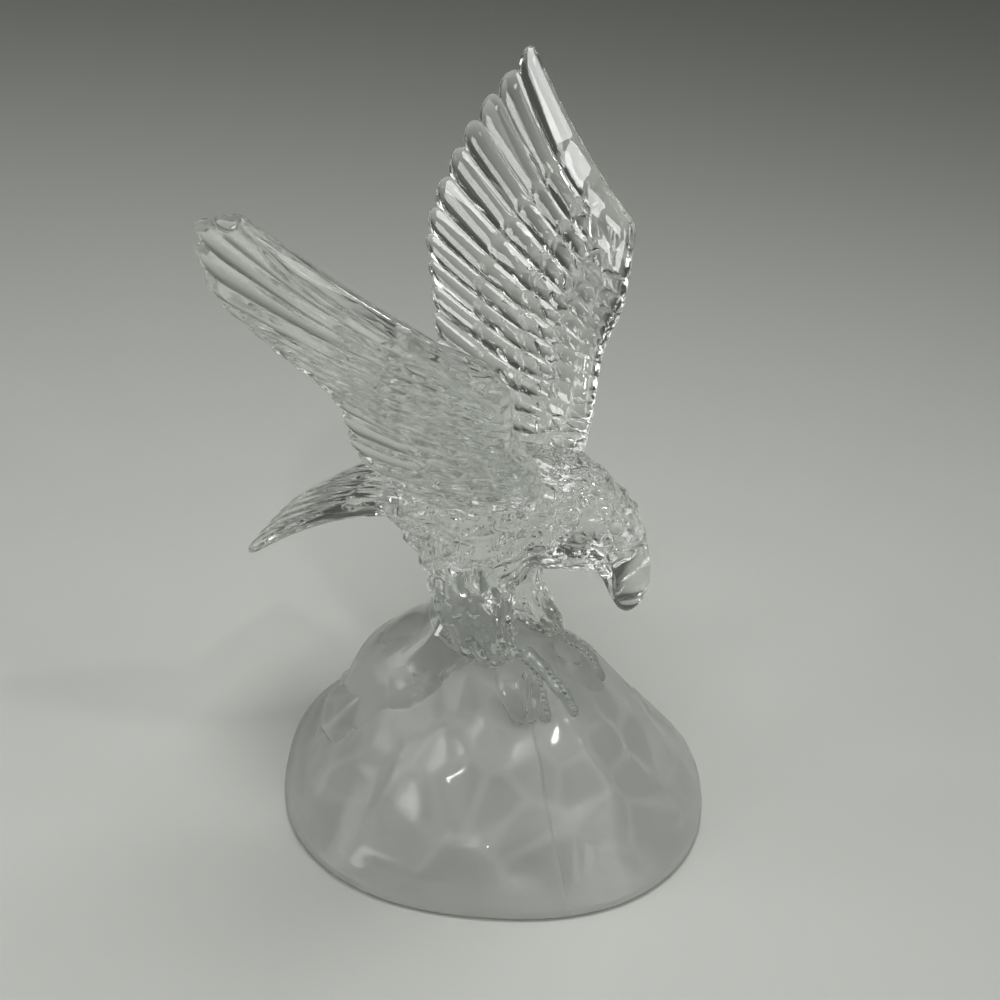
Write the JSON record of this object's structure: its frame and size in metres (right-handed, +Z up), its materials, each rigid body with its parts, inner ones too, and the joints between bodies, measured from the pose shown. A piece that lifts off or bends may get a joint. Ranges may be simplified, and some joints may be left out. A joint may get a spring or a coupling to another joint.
{
  "type": "glass figurine",
  "caption": "Clear glass eagle landing with raised feathered wings, bowed head and fanned tail on an oval faceted rock.",
  "frame": {"origin": "middle of the rock's flat underside, at rest on a table", "axes": "+Z up, the eagle looks along -Y, its tail points along +Y and its right wing lies at -X"},
  "size_m": [0.2136, 0.1537, 0.2241],
  "materials": {
    "crystal": "clear lead crystal, fire polished on the eagle and satin on the rock's facets"
  },
  "bodies": {
    "root": {"crystal_eagle": "crystal"}
  },
  "joints": []
}
